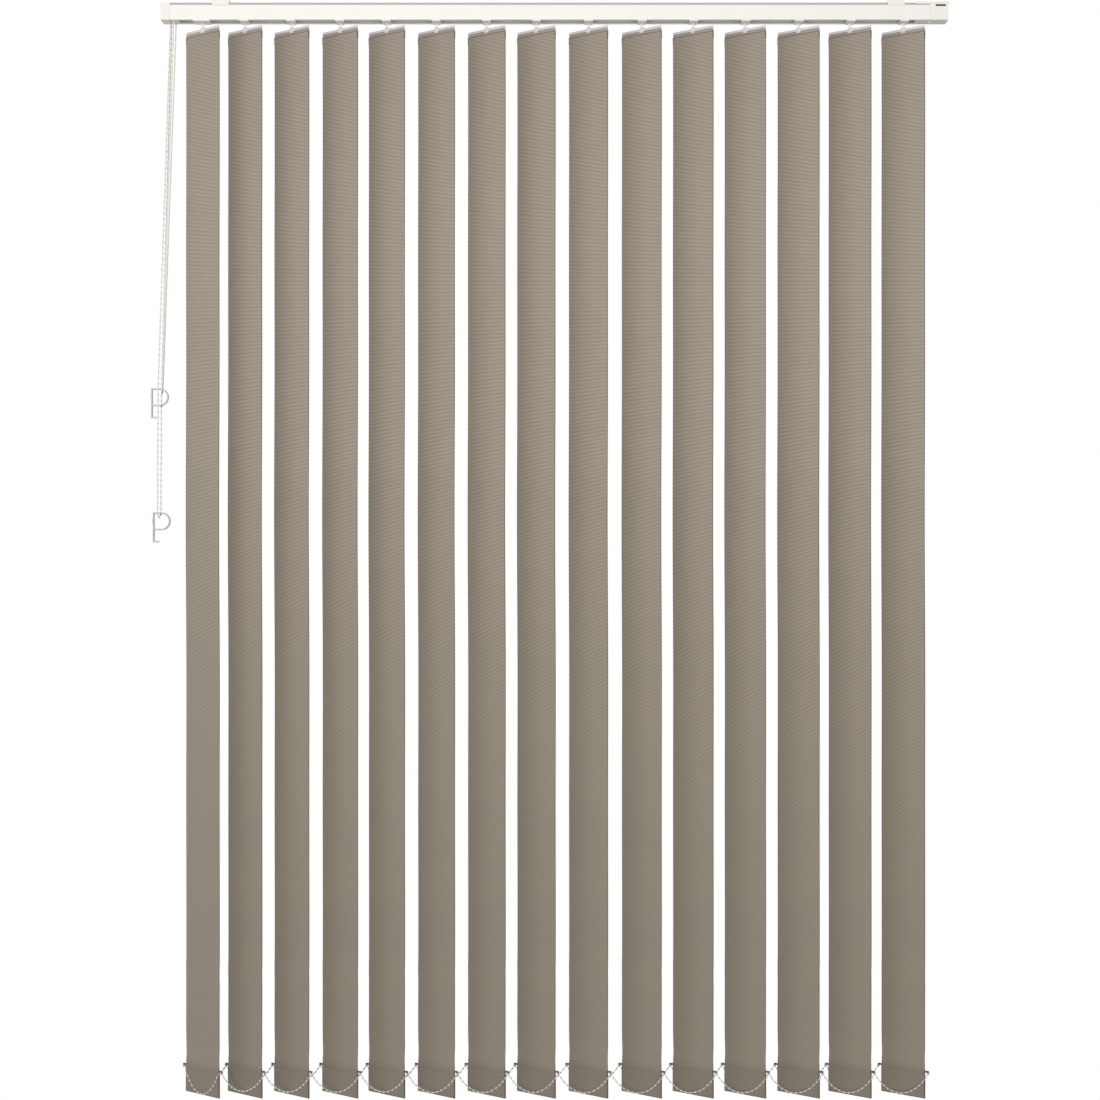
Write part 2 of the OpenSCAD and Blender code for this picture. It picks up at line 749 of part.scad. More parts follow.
// Draws a sub-part when it is asked for
headrail();
control_end_cap();
return_end_cap();
left_ceiling_clip();
right_ceiling_clip();
tilt_rod();
chain_wheel();
return_pulley();
rail_cord();
draw_cord();
control_chain();
cord_wall_clip();
chain_wall_clip();
front_chain();
back_chain();
for (i = [0:last]) {
    carrier(i);
    hook(i);
    slat(i);
}
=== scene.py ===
"""Vertical blind: fifteen taupe slats under a white headrail, drawn by a cord, tilted by a chain."""
import json
import math

import bmesh
import bpy
from mathutils import Matrix, Vector

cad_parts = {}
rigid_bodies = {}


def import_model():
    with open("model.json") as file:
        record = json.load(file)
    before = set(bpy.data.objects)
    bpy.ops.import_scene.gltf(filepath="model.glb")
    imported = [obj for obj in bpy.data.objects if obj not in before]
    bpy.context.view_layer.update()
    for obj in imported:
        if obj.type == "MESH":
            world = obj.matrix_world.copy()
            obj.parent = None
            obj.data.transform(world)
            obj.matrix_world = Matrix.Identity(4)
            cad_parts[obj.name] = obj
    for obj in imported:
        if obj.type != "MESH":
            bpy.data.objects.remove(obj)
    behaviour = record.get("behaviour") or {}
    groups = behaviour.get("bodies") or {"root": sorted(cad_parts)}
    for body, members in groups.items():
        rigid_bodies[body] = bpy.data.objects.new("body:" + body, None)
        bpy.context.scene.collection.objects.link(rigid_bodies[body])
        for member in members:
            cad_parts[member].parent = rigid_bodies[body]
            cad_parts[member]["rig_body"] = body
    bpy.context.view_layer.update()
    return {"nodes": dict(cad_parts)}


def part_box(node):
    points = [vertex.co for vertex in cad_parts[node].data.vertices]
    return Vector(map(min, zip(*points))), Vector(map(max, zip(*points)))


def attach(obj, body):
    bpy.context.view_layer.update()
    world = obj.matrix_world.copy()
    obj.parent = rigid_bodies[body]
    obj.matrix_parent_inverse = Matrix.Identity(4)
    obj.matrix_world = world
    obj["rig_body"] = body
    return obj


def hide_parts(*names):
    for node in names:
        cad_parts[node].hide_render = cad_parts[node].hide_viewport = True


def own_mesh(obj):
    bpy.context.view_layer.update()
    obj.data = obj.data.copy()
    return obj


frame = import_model()
scene = bpy.context.scene
scene.view_settings.view_transform = "Standard"

# Camera
# It stands level, straight in front of the blind and half way down its drop. The shift frames
# the rail and the bottom chains alike, as in the photograph.
picture_px = 1100
focal_px = 2603
axis_below_middle_px = 12
sensor_mm = 36
camera_place = (-0.0139, -4.3, -0.924)
lens = bpy.data.cameras.new("camera")
lens.sensor_width = sensor_mm
lens.lens = sensor_mm * focal_px / picture_px
lens.shift_y = axis_below_middle_px / picture_px
camera = bpy.data.objects.new("camera", lens)
camera.location = camera_place
camera.rotation_euler = (math.radians(90), 0, 0)
scene.collection.objects.link(camera)
scene.camera = camera


# Studio
# White all round for the camera and for reflections, with soft light from everywhere. A broad light
# from the front, a long lamp near the top that fades down the slats, and a light from behind.
def linear(hex_colour):
    """An sRGB hex colour as linear red, green, blue and alpha."""
    parts = [int(hex_colour[k:k + 2], 16) / 255 for k in (1, 3, 5)]
    return [c / 12.92 if c <= 0.04045 else ((c + 0.055) / 1.055) ** 2.4 for c in parts] + [1]


def add(tree, kind, values=None, links=None, **settings):
    """Adds a node: settings are its own options, values fill its sockets, and links feed them."""
    node = tree.nodes.new(kind)
    for name, value in settings.items():
        setattr(node, name, value)
    for name, value in (values or {}).items():
        node.inputs[name].default_value = value
    for name, source in (links or {}).items():
        tree.links.new(source, node.inputs[name])
    return node


def new_material(name, colour, roughness, sockets=None):
    """Makes a material and gives it with its node tree and its shader; sockets holds plain values."""
    made = bpy.data.materials.new(name)
    made.use_nodes = True
    shader = made.node_tree.nodes["Principled BSDF"]
    shader.inputs["Base Color"].default_value = linear(colour)
    shader.inputs["Roughness"].default_value = roughness
    for socket, value in (sockets or {}).items():
        shader.inputs[socket].default_value = value
    return made, made.node_tree, shader


ambient_light = 0.17
world = bpy.data.worlds.new("studio")
world.use_nodes = True
tree = world.node_tree
tree.nodes.clear()
rays = add(tree, "ShaderNodeLightPath").outputs
reflected = add(tree, "ShaderNodeMath", operation="MAXIMUM",
                links={0: rays["Is Glossy Ray"], 1: rays["Is Transmission Ray"]})
seen = add(tree, "ShaderNodeMath", operation="MAXIMUM",
           links={0: rays["Is Camera Ray"], 1: reflected.outputs[0]})
soft = add(tree, "ShaderNodeBackground", {"Color": linear("#fffdf9"), "Strength": ambient_light})
white = add(tree, "ShaderNodeBackground", {"Color": linear("#ffffff"), "Strength": 1})
both = add(tree, "ShaderNodeMixShader",
           links={0: seen.outputs[0], 1: soft.outputs[0], 2: white.outputs[0]})
add(tree, "ShaderNodeOutputWorld", links={"Surface": both.outputs[0]})
scene.world = world

light_spread_deg = 8
for name, level, left_deg, up_deg in (("front_light", 1.02, 4, 8), ("back_light", 1.0, 150, 20)):
    distant = bpy.data.lights.new(name, "SUN")
    distant.energy = level
    distant.angle = math.radians(light_spread_deg)
    holder = bpy.data.objects.new(name, distant)
    holder.rotation_euler = (math.radians(90 - up_deg), 0, math.radians(-left_deg))
    scene.collection.objects.link(holder)

lamp_width, lamp_height = 5.0, 0.5
lamp_place = (-1.0, -1.15, -0.34)
lamp_watts = 18
lamp = bpy.data.lights.new("long_softbox", "AREA")
lamp.shape = "RECTANGLE"
lamp.size = lamp_width
lamp.size_y = lamp_height
lamp.energy = lamp_watts
softbox = bpy.data.objects.new("long_softbox", lamp)
softbox.location = lamp_place
softbox.rotation_euler = (math.radians(90), 0, 0)
softbox.visible_camera = False
scene.collection.objects.link(softbox)

floor_half, floor_front, floor_back, floor_z = 3, -3, 1.2, -2.1
floor_corners = [(-floor_half, floor_front, floor_z), (floor_half, floor_front, floor_z),
                 (floor_half, floor_back, floor_z), (-floor_half, floor_back, floor_z)]
floor_mesh = bpy.data.meshes.new("floor")
floor_mesh.from_pydata(floor_corners, [], [(0, 1, 2, 3)])
floor = bpy.data.objects.new("floor", floor_mesh)
scene.collection.objects.link(floor)
floor_paint = new_material("pale_floor_paint", "#e9e7e3", 0.8)[0]
floor_mesh.materials.append(floor_paint)


# Headrail
# One channel of extruded aluminium, stove-enamelled off-white: smooth, satin, with the faint
# orange peel of sprayed paint. The lips that the clips hold, along its top, are painted plain grey:
# painted shade for the groove and the top edge.
def mottled(tree, shader, patch_mm, detail, dark, pale):
    """Lets the base colour drift between two tones, in soft patches of a real size."""
    place = add(tree, "ShaderNodeTexCoord")
    patches = add(tree, "ShaderNodeTexNoise", {"Scale": 1000 / patch_mm, "Detail": detail},
                  {"Vector": place.outputs["Object"]})
    tone = add(tree, "ShaderNodeValToRGB", links={"Fac": patches.outputs["Fac"]})
    tone.color_ramp.elements[0].color = linear(dark)
    tone.color_ramp.elements[1].color = linear(pale)
    tree.links.new(tone.outputs["Color"], shader.inputs["Base Color"])


def plain(piece):
    """Turns a piece with modifiers into a piece with the mesh that they give."""
    shown = piece.evaluated_get(bpy.context.evaluated_depsgraph_get())
    mesh = bpy.data.meshes.new_from_object(shown)
    piece.modifiers.clear()
    piece.data = mesh
    return piece


def smooth(mesh, limit_deg):
    """Shades a mesh smooth, with the edges that turn more than an angle left sharp."""
    mesh.polygons.foreach_set("use_smooth", [True] * len(mesh.polygons))
    mesh.set_sharp_from_angle(angle=math.radians(limit_deg))


same_point, flat_deg, sharp_deg = 1e-6, 1, 40


def eased(node, name, edge_mm):
    """A copy of a solid with its triangles joined to whole faces and its sharp edges rounded."""
    work = bmesh.new()
    work.from_mesh(frame["nodes"][node].data)
    bmesh.ops.remove_doubles(work, verts=work.verts, dist=same_point)
    bmesh.ops.dissolve_limit(work, angle_limit=math.radians(flat_deg), verts=work.verts, edges=work.edges)
    work.verts.index_update()
    corners = [vert.co.copy() for vert in work.verts]
    faces = [[vert.index for vert in face.verts] for face in work.faces]
    work.free()
    mesh = bpy.data.meshes.new(name)
    mesh.from_pydata(corners, [], faces)
    smooth(mesh, sharp_deg)
    piece = bpy.data.objects.new(name, mesh)
    scene.collection.objects.link(piece)
    bevel = piece.modifiers.new("eased_edges", "BEVEL")
    bevel.width = edge_mm / 1000
    bevel.segments = 2
    bevel.limit_method = "ANGLE"
    bevel.angle_limit = math.radians(sharp_deg)
    piece.modifiers.new("flat_faces_stay_flat", "WEIGHTED_NORMAL").keep_sharp = True
    return plain(piece)


def dress(piece, node, slot, *finishes):
    """Gives a piece its finishes and its body, and hides the solid that it stands for."""
    for finish in finishes:
        piece.data.materials.append(finish)
    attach(piece, frame["nodes"][node]["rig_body"])
    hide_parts(node)


enamel, tree, shader = new_material("stove_enamel_on_aluminium", "#f4f1ea", 0.41)
mottled(tree, shader, 60, 3, "#f2efe7", "#f6f3ed")
place = add(tree, "ShaderNodeTexCoord")
peel_mm = 1.6
peel = add(tree, "ShaderNodeTexNoise", {"Scale": 1000 / peel_mm, "Detail": 2},
           {"Vector": place.outputs["Object"]})
bump = add(tree, "ShaderNodeBump", {"Strength": 0.04, "Distance": 0.0002},
           {"Height": peel.outputs["Fac"]})
tree.links.new(bump.outputs["Normal"], shader.inputs["Normal"])
lip_painted_shade = new_material("grey_lip_painted_shade", "#c2bfbc", 0.6)[0]
headrail = eased("headrail", "painted_headrail", 0.5)
dress(headrail, "headrail", "rail_enamel", enamel, lip_painted_shade)
# Painted shade: every face above the lip's bottom takes the plain grey finish.
lip_bottom = -0.0072
for face in headrail.data.polygons:
    face.material_index = 1 if face.center.z > lip_bottom else 0

# End caps and ceiling clips
# Injection-moulded ABS, off-white to match the rail: a fine spark-eroded texture, softer shine than
# the paint, and rounded edges. The caps push into the rail, and the clips are screwed to the ceiling.
abs_white, tree, shader = new_material("moulded_abs_white", "#f3f0e9", 0.42)
mottled(tree, shader, 14, 2, "#efece4", "#f5f3ed")
place = add(tree, "ShaderNodeTexCoord")
spark_mm = 0.5
spark = add(tree, "ShaderNodeTexNoise", {"Scale": 1000 / spark_mm, "Detail": 3},
            {"Vector": place.outputs["Object"]})
shine = add(tree, "ShaderNodeMapRange", {"To Min": 0.36, "To Max": 0.5},
            {"Value": spark.outputs["Fac"]})
bump = add(tree, "ShaderNodeBump", {"Strength": 0.08, "Distance": 0.0001},
           {"Height": spark.outputs["Fac"]})
tree.links.new(shine.outputs[0], shader.inputs["Roughness"])
tree.links.new(bump.outputs["Normal"], shader.inputs["Normal"])
for node in ("control_end_cap", "return_end_cap", "left_ceiling_clip", "right_ceiling_clip"):
    dress(eased(node, "moulded_" + node, 0.4), node, "white_plastic", abs_white)

# Wall clips
# Moulded in a milky clear plastic, greyer than the caps: the grey is partly that plastic and partly
# painted shade. Each has a screwed foot and a ring that keeps the cord, or the chain, close to the wall
# and out of reach.
milky, tree, shader = new_material("moulded_milky_polycarbonate_painted_shade", "#bcb6b0", 0.4,
                                   {"Transmission Weight": 0.1, "IOR": 1.58})
mottled(tree, shader, 6, 2, "#b0aaa4", "#c6c1bb")
for node in ("cord_wall_clip", "chain_wall_clip"):
    dress(eased(node, "moulded_" + node, 0.4), node, "white_plastic", milky)

# Tilt rod, bead wheel and return pulley
# A fluted rod of bare extruded aluminium runs the length of the rail, with a moulded bead wheel on
# its end. The pulley that turns the cord back sits on a pin in the far cap.
bare_alu, tree, shader = new_material("extruded_aluminium", "#b9babb", 0.35, {"Metallic": 1})
place = add(tree, "ShaderNodeTexCoord")
draw_line_mm = (40, 0.4, 0.4)
stretch = add(tree, "ShaderNodeMapping", {"Scale": [1000 / size for size in draw_line_mm]},
              {"Vector": place.outputs["Object"]})
lines = add(tree, "ShaderNodeTexNoise", {"Scale": 1, "Detail": 2},
            {"Vector": stretch.outputs["Vector"]})
shine = add(tree, "ShaderNodeMapRange", {"To Min": 0.28, "To Max": 0.45},
            {"Value": lines.outputs["Fac"]})
tree.links.new(shine.outputs[0], shader.inputs["Roughness"])
dress(eased("tilt_rod", "fluted_tilt_rod", 0.15), "tilt_rod", "rod_metal", bare_alu)
for node in ("chain_wheel", "return_pulley"):
    dress(eased(node, "moulded_" + node, 0.2), node, "white_plastic", abs_white)

# Draw cord
# A braided polyester cord, 2 mm thick: out of the control cap, down the front, round the bar of its
# wall clip and up the back. The runs inside the rail are the same cord.
left_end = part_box("control_end_cap")[0].x
cord_d = 0.002
cord_sides, parts_a_stretch = 12, 6
cord_route = [
    (0.021, -0.014, -0.032), (0.020, -0.0135, -0.060), (0.014, -0.011, -0.240), (0.007, -0.0085, -0.440),
    (0.001, -0.006, -0.620), (0, -0.0057, -0.640), (0, -0.0052, -0.6424), (0, -0.004, -0.6442),
    (0, -0.0022, -0.6453), (0, 0, -0.6457), (0, 0.0022, -0.6453), (0, 0.004, -0.6442),
    (0, 0.0052, -0.6424), (0, 0.0057, -0.640), (0.001, 0.006, -0.620), (0.007, 0.0085, -0.440),
    (0.014, 0.011, -0.240), (0.020, 0.0135, -0.060), (0.021, 0.014, -0.032)]


def rounded_line(points, parts):
    """More points along a line, on a curve through all of them."""
    ends = [points[0] * 2 - points[1], *points, points[-1] * 2 - points[-2]]
    line = []
    for before, a, b, after in zip(ends, ends[1:], ends[2:], ends[3:]):
        pull = (b - a).length / 2
        start = (b - before).normalized() * pull
        stop = (after - a).normalized() * pull
        for k in range(parts):
            t = k / parts
            line.append(a * (1 - t) ** 2 * (1 + 2 * t) + start * t * (1 - t) ** 2
                        + b * t * t * (3 - 2 * t) + stop * t * t * (t - 1))
    return line + [points[-1].copy()]


def tube(name, line, radius, sides, across):
    """A closed tube along a line, with a UV map of turns round it and metres along it."""
    work = bmesh.new()
    lay = work.loops.layers.uv.new("lay")
    rings = []
    metres = [0]
    for k, point in enumerate(line):
        heading = (line[min(k + 1, len(line) - 1)] - line[max(k - 1, 0)]).normalized()
        side = heading.cross(across).normalized()
        up = heading.cross(side)
        turns = [2 * math.pi * j / sides for j in range(sides)]
        rings.append([work.verts.new(point + (side * math.cos(a) + up * math.sin(a)) * radius)
                      for a in turns])
        if k:
            metres.append(metres[-1] + (point - line[k - 1]).length)
    for k in range(len(line) - 1):
        for j in range(sides):
            after = (j + 1) % sides
            face = work.faces.new((rings[k][j], rings[k][after], rings[k + 1][after], rings[k + 1][j]))
            face.smooth = True
            spots = ((j, k), (j + 1, k), (j + 1, k + 1), (j, k + 1))
            for loop, (turn, row) in zip(face.loops, spots):
                loop[lay].uv = (turn / sides, metres[row])
    work.faces.new(rings[0][::-1])
    work.faces.new(rings[-1])
    bmesh.ops.recalc_face_normals(work, faces=work.faces)
    mesh = bpy.data.meshes.new(name)
    work.to_mesh(mesh)
    work.free()
    piece = bpy.data.objects.new(name, mesh)
    scene.collection.objects.link(piece)
    return piece


braid, tree, shader = new_material("braided_polyester_cord", "#eceae4", 0.6, {"Sheen Weight": 0.2})
lay = add(tree, "ShaderNodeUVMap", uv_map="lay")
strands_round, braid_mm = 4, 3.2
spread = add(tree, "ShaderNodeMapping", {"Scale": (strands_round, 1000 / braid_mm, 1)},
             {"Vector": lay.outputs["UV"]})
split = add(tree, "ShaderNodeSeparateXYZ", links={"Vector": spread.outputs["Vector"]})
waves = []
for lean in ("ADD", "SUBTRACT"):
    phase = add(tree, "ShaderNodeMath", operation=lean, links={0: split.outputs["X"], 1: split.outputs["Y"]})
    turn = add(tree, "ShaderNodeMath", {1: 2 * math.pi}, {0: phase.outputs[0]}, operation="MULTIPLY")
    waves.append(add(tree, "ShaderNodeMath", links={0: turn.outputs[0]}, operation="SINE"))
strand = add(tree, "ShaderNodeMath", operation="MAXIMUM",
             links={0: waves[0].outputs[0], 1: waves[1].outputs[0]})
height = add(tree, "ShaderNodeMapRange", {"From Min": -1}, {"Value": strand.outputs[0]})
# Painted shade: the colour darkens in the valleys between the strands, at the same height as the bump.
tone = add(tree, "ShaderNodeValToRGB", links={"Fac": height.outputs[0]})
tone.color_ramp.elements[0].color = linear("#d9d6cd")
tone.color_ramp.elements[1].color = linear("#f1efe9")
bump = add(tree, "ShaderNodeBump", {"Strength": 0.5, "Distance": 0.0002}, {"Height": height.outputs[0]})
tree.links.new(tone.outputs["Color"], shader.inputs["Base Color"])
tree.links.new(bump.outputs["Normal"], shader.inputs["Normal"])

cord_points = [Vector(point) + Vector((left_end, 0, 0)) for point in cord_route]
cord_line = rounded_line(cord_points, parts_a_stretch)
draw_cord = tube("braided_draw_cord", cord_line, cord_d / 2, cord_sides, Vector((1, 0, 0)))
dress(draw_cord, "draw_cord", "cord_braid", braid)

inner_braid, tree, shader = new_material("braided_polyester_in_rail", "#eceae4", 0.6, {"Sheen Weight": 0.2})
place = add(tree, "ShaderNodeTexCoord")
weave = add(tree, "ShaderNodeTexWave", {"Scale": 1000 / (braid_mm * 2 * math.pi), "Distortion": 1.5},
            {"Vector": place.outputs["Object"]}, bands_direction="DIAGONAL")
bump = add(tree, "ShaderNodeBump", {"Strength": 0.5, "Distance": 0.0002}, {"Height": weave.outputs["Fac"]})
tree.links.new(bump.outputs["Normal"], shader.inputs["Normal"])
frame["nodes"]["rail_cord"].data.materials.clear()
frame["nodes"]["rail_cord"].data.materials.append(inner_braid)

# Control chain
# An endless string of acetal beads moulded on a polyester thread. It runs over the bead wheel in the
# control cap and hangs round the bar of its own wall clip.
acetal, tree, shader = new_material("moulded_acetal_white", "#f1efe9", 0.3, {"Subsurface Weight": 0.05})
mottled(tree, shader, 2.5, 2, "#f2f0ea", "#faf9f6")
bead_thread, tree, shader = new_material("twisted_polyester_thread", "#e2dad0", 0.7)
mottled(tree, shader, 0.9, 1, "#d9d0c5", "#ebe4db")

bead_tree = bpy.data.node_groups.new("bead_string", "GeometryNodeTree")
bead_tree.interface.new_socket("Geometry", in_out="OUTPUT", socket_type="NodeSocketGeometry")
bead_inputs = {"Geometry": "NodeSocketGeometry", "Bead radius": "NodeSocketFloat",
               "Thread radius": "NodeSocketFloat", "Bare ends": "NodeSocketInt",
               "Bead finish": "NodeSocketMaterial", "Thread finish": "NodeSocketMaterial"}
bead_sockets = {name: bead_tree.interface.new_socket(name, in_out="INPUT", socket_type=kind).identifier
                for name, kind in bead_inputs.items()}
given = add(bead_tree, "NodeGroupInput").outputs
line = add(bead_tree, "GeometryNodeMeshToCurve", links={"Mesh": given["Geometry"]})
round_thread = add(bead_tree, "GeometryNodeCurvePrimitiveCircle", {"Resolution": 6},
                   {"Radius": given["Thread radius"]})
thread = add(bead_tree, "GeometryNodeCurveToMesh", {"Fill Caps": True},
             {"Curve": line.outputs[0], "Profile Curve": round_thread.outputs["Curve"]})
ball = add(bead_tree, "GeometryNodeMeshIcoSphere", {"Subdivisions": 2}, {"Radius": given["Bead radius"]})
ends = add(bead_tree, "GeometryNodeCurveEndpointSelection",
           links={"Start Size": given["Bare ends"], "End Size": given["Bare ends"]})
inner = add(bead_tree, "FunctionNodeBooleanMath", links={0: ends.outputs[0]}, operation="NOT")
balls = add(bead_tree, "GeometryNodeInstanceOnPoints",
            links={"Points": line.outputs[0], "Selection": inner.outputs[0],
                   "Instance": ball.outputs["Mesh"]})
single = add(bead_tree, "GeometryNodeRealizeInstances", links={0: balls.outputs[0]})
beads = add(bead_tree, "GeometryNodeSetMaterial",
            links={0: single.outputs[0], "Material": given["Bead finish"]})
thread = add(bead_tree, "GeometryNodeSetMaterial",
             links={0: thread.outputs[0], "Material": given["Thread finish"]})
string = add(bead_tree, "GeometryNodeJoinGeometry", links={0: thread.outputs[0]})
bead_tree.links.new(beads.outputs[0], string.inputs[0])
rounded = add(bead_tree, "GeometryNodeSetShadeSmooth", links={0: string.outputs[0]})
add(bead_tree, "NodeGroupOutput", links={0: rounded.outputs[0]})


def bead_string(name, lines, bead_r, thread_r, bare_ends, closed=False):
    """A string of beads: one at every point of each line, but for its bare ends, on a thin thread."""
    points = []
    edges = []
    for line in lines:
        first = len(points)
        points += line
        edges += [(k, k + 1) for k in range(first, len(points) - 1)]
        edges += [(len(points) - 1, first)] if closed else []
    mesh = bpy.data.meshes.new(name)
    mesh.from_pydata(points, edges, [])
    piece = bpy.data.objects.new(name, mesh)
    scene.collection.objects.link(piece)
    nodes = piece.modifiers.new("beads", "NODES")
    nodes.node_group = bead_tree
    for socket, value in (("Bead radius", bead_r), ("Thread radius", thread_r), ("Bare ends", bare_ends),
                          ("Bead finish", acetal), ("Thread finish", bead_thread)):
        nodes[bead_sockets[socket]] = value
    return plain(piece)


def spaced(line, count):
    """Points at even distances along a closed line."""
    sides = [(b - a).length for a, b in zip(line, line[1:])]
    step = sum(sides) / count
    found = []
    gone = 0
    k = 0
    for n in range(count):
        while n * step > gone + sides[k]:
            gone += sides[k]
            k += 1
        found.append(line[k].lerp(line[k + 1], (n * step - gone) / sides[k]))
    return found


bead_d, bead_pitch, bead_thread_r = 0.0038, 0.0094, 0.0007
chain_pass = Vector((-0.004, 0.0072, -0.640))
chain_low = Vector((-0.005, 0.00635, -0.8442))
wheel_low, wheel_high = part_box("chain_wheel")
rod_low, rod_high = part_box("tilt_rod")
wheel_inset = 0.014
wheel_x = left_end + wheel_inset
rod_y = (rod_low.y + rod_high.y) / 2
rod_z = (wheel_low.z + wheel_high.z) / 2
strand_spread = 0.0018
wheel_pockets = 5
wheel_r = wheel_pockets * bead_pitch / (2 * math.pi)
bend_steps = 12


def round_bar(a):
    """A point of the bend round the bar of the wall clip, where the two strands lie a little apart."""
    x = left_end + chain_low.x + strand_spread * math.cos(a)
    return Vector((x, chain_low.y * math.cos(a), chain_low.z + chain_low.y * math.sin(a)))


def over_wheel(a):
    """A point of the bend over the bead wheel."""
    return Vector((wheel_x, rod_y + wheel_r * math.cos(a), rod_z + wheel_r * math.sin(a)))


chain_line = [round_bar(math.pi * (1.5 + 0.5 * k / bend_steps)) for k in range(bend_steps + 1)]
chain_line += [Vector((left_end + chain_pass.x + strand_spread, chain_pass.y, chain_pass.z))]
chain_line += [over_wheel(math.pi * k / bend_steps) for k in range(bend_steps + 1)]
chain_line += [Vector((left_end + chain_pass.x - strand_spread, -chain_pass.y, chain_pass.z))]
chain_line += [round_bar(math.pi * (1 + 0.5 * k / bend_steps)) for k in range(bend_steps + 1)]
chain_length = sum((b - a).length for a, b in zip(chain_line, chain_line[1:]))
bead_count = 2 * round(chain_length / bead_pitch / 2)
control_beads = spaced(chain_line, bead_count)
control_chain = bead_string("beaded_control_chain", [control_beads], bead_d / 2, bead_thread_r, 0,
                            closed=True)
dress(control_chain, "control_chain", "chain_plastic")

# Carriers
# Fifteen moulded acetal runners in the rail's slot, the lead one wider, each with a worm on the tilt
# rod and a spacer strip to the next. Their front lips show below the rail.
slat_count = 15
numbers = [f"{k:02d}" for k in range(1, slat_count + 1)]
for number in numbers:
    dress(eased("carrier_" + number, "moulded_carrier_" + number, 0.25), "carrier_" + number,
          "white_plastic", abs_white)

# Hooks and hangers
# A moulded hook turns in each carrier and grips the slat's hanger, a stiff strip of smoky clear
# plastic that stands a little above the cloth. A painted highlight runs along its top, with painted
# dark lines for the clear strip's edges.
hanger_clear, tree, shader = new_material(
    "smoky_polycarbonate_painted_highlight", "#b3aca4", 0.3, {"Transmission Weight": 0.2, "IOR": 1.58})
place = add(tree, "ShaderNodeTexCoord")
split = add(tree, "ShaderNodeSeparateXYZ", links={"Vector": place.outputs["Object"]})
hanger_top, fabric_top = -0.044, -0.052
up_strip = add(tree, "ShaderNodeMapRange", {"From Min": fabric_top, "From Max": hanger_top},
               {"Value": split.outputs["Z"]})
tone = add(tree, "ShaderNodeValToRGB", links={"Fac": up_strip.outputs[0]})
# Painted highlight and painted dark edge lines: over the plastic's own colour low down, a dark line, then a
# white band, then a grey line at the very top.
strip_and_painted_highlight_stops = tone.color_ramp.elements
strip_and_painted_highlight_stops[0].color = linear("#bdb4ac")
strip_and_painted_highlight_stops[1].color = linear("#77736e")
for share, colour in ((0.45, "#bdb4ac"), (0.49, "#857f79"), (0.54, "#857f79"), (0.60, "#fdfcfa"),
                      (0.92, "#fdfcfa"), (0.96, "#77736e")):
    strip_and_painted_highlight_stops.new(share).color = linear(colour)
tree.links.new(tone.outputs["Color"], shader.inputs["Base Color"])

slat_angle = math.radians(45)
hanger_t = 0.001
grip_half = 0.0035
strip_reach, top_reach, grip_reach = 0.55 * hanger_t, 0.0001, 0.0004
slat_axes = []
for number in numbers:
    low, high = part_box("hook_" + number)
    axis = Matrix.Translation(((low.x + high.x) / 2, 0, 0)) @ Matrix.Rotation(-slat_angle, 4, "Z")
    slat_axes.append(axis)
    hook = eased("hook_" + number, "moulded_hook_" + number, 0.2)
    dress(hook, "hook_" + number, "hook_plastic", acetal, hanger_clear)
    to_slat = axis.inverted()
    for face in hook.data.polygons:
        middle = to_slat @ face.center
        on_strip = abs(middle.y) < strip_reach and middle.z < hanger_top + top_reach
        on_grip = abs(abs(middle.x) - grip_half) < grip_reach
        face.material_index = 1 if on_strip and not on_grip else 0

# Slats
# Strips of woven polyester, 89 mm wide, cut hot so that the edges are sealed and dark. The top is
# welded in a pocket round the hanger, and the bottom in a hem round the weight.
slat_w = 0.089
slat_bottom = -1.804
fabric_half = 0.0004
pocket_half, pocket_bottom, pocket_gap = 0.0011, -0.066, 0.00055
hem_half, hem_top = 0.0012, -1.759
cloth_columns, cloth_sharp_deg = 13, 50
cloth_row = 0.02
weld_half = 0.00075
mouth_round = 0.0006
pocket_weld = (0.0035, 0.0025, 0.0012)
pocket_run_out, hem_run_in = 0.001, 0.0012
hem_weld = (0.0022, 0.003, 0.0042, 0.005)
hem_row, hem_row_count = 0.008, 4
hem_round = (0.0012, 0.0005)


def cloth_rows():
    """Heights down a slat with half its thickness there: pocket, single cloth, and hem with its weld."""
    weld_start, weld_upper, weld_lower = [pocket_bottom + above for above in pocket_weld]
    body_top, body_bottom = pocket_bottom - pocket_run_out, hem_top + hem_run_in
    rows = [(fabric_top, pocket_half * 0.9), (fabric_top - mouth_round, pocket_half),
            (weld_start, pocket_half), (weld_upper, weld_half), (weld_lower, weld_half),
            (pocket_bottom, fabric_half * 1.5), (body_top, fabric_half)]
    count = round((body_top - body_bottom) / cloth_row)
    rows += [(body_top + (body_bottom - body_top) * k / count, fabric_half) for k in range(1, count + 1)]
    weld_start, weld_upper, weld_lower, weld_stop = [hem_top - below for below in hem_weld]
    rows += [(hem_top, hem_half * 0.85), (weld_start, hem_half), (weld_upper, weld_half),
             (weld_lower, weld_half), (weld_stop, hem_half)]
    rows += [(weld_stop - hem_row * k, hem_half) for k in range(1, hem_row_count + 1)]
    rows += [(slat_bottom + hem_round[0], hem_half), (slat_bottom + hem_round[1], hem_half * 0.8),
             (slat_bottom, hem_half * 0.3)]
    return rows


long_waves = ((0.0006, 9.0, 1.0), (0.0004, 23.0, 0.4))
crown = 0.0013
creases = ((-1.728, 0.0007, 0.012), (-1.602, -0.0005, 0.010))
waist, waist_above_hem, waist_reach = 0.0008, 0.022, 0.014


def billow(u, z):
    """How far the hanging cloth stands off its flat plane: long waves, two creases and a slight crown."""
    down = (fabric_top - z) / (fabric_top - slat_bottom)
    free = math.sin(math.pi * min(max(down, 0), 1)) ** 0.7
    waves = sum(size * math.sin(turns * down + start) for size, turns, start in long_waves)
    arched = crown * (1 - (2 * u / slat_w) ** 2)
    creased = sum(size * math.exp(-((z - height) / reach) ** 2) for height, size, reach in creases)
    return free * (waves - arched) + creased


def half_width(z):
    """Half the slat's width at a height: the cloth draws in a little above the stiff hem."""
    return slat_w / 2 - waist * math.exp(-((z - hem_top - waist_above_hem) / waist_reach) ** 2)


